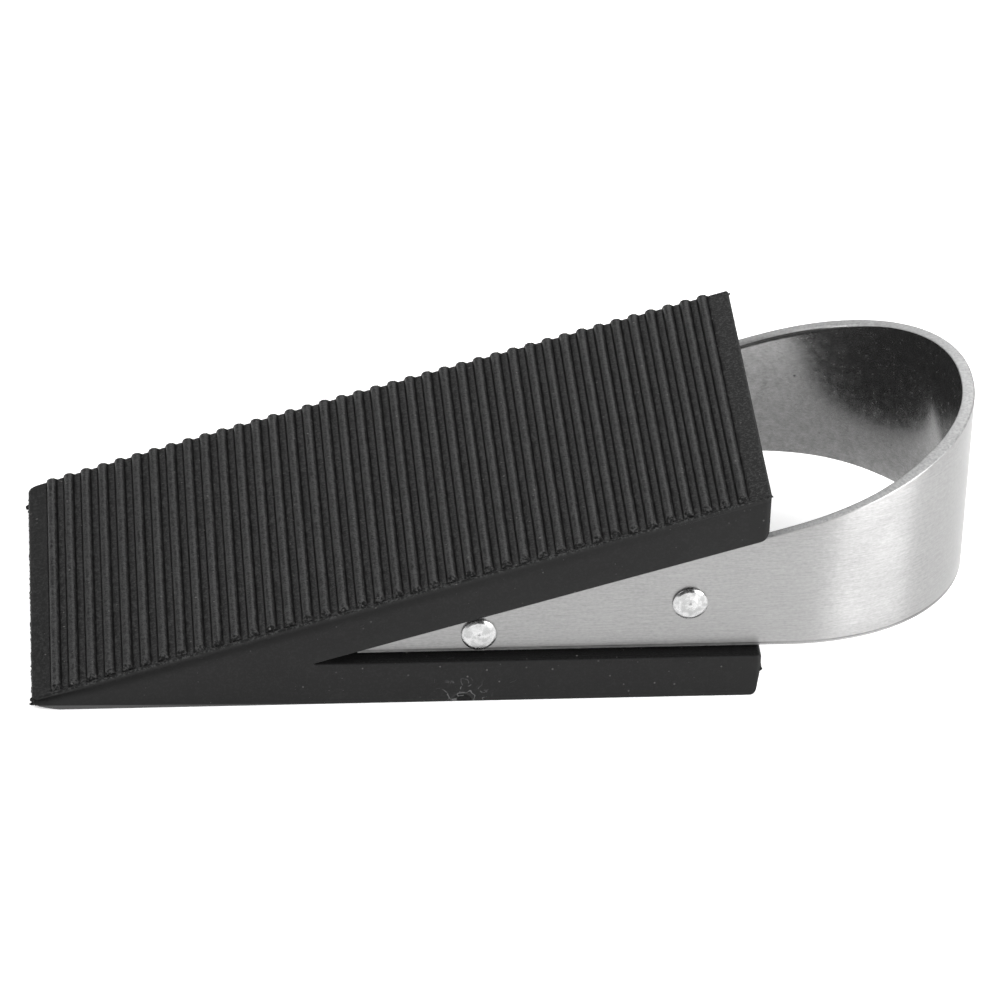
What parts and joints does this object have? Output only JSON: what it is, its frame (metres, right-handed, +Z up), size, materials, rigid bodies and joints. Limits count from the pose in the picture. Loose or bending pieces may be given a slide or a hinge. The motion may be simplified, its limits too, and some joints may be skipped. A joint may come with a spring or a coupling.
{
  "type": "door stop",
  "caption": "Black rubber door wedge with a ribbed slope and a stainless strap handle that loops out of its thick end, held by through rivets.",
  "frame": {"origin": "on the floor, under the middle of the overall length and width", "axes": "+X from the thin tip to the handle loop, +Y across the width, +Z up"},
  "size_m": [0.1538, 0.063, 0.0407],
  "materials": {
    "moulded_rubber": "matte moulded black rubber",
    "brushed_stainless": "satin, grain along the strap, ground edges",
    "bright_rivet": "bright turned heads"
  },
  "bodies": {
    "root": {"rubber_wedge": "moulded_rubber", "handle_strap": "brushed_stainless", "tip_rivet": "bright_rivet", "heel_rivet": "bright_rivet"}
  },
  "joints": []
}
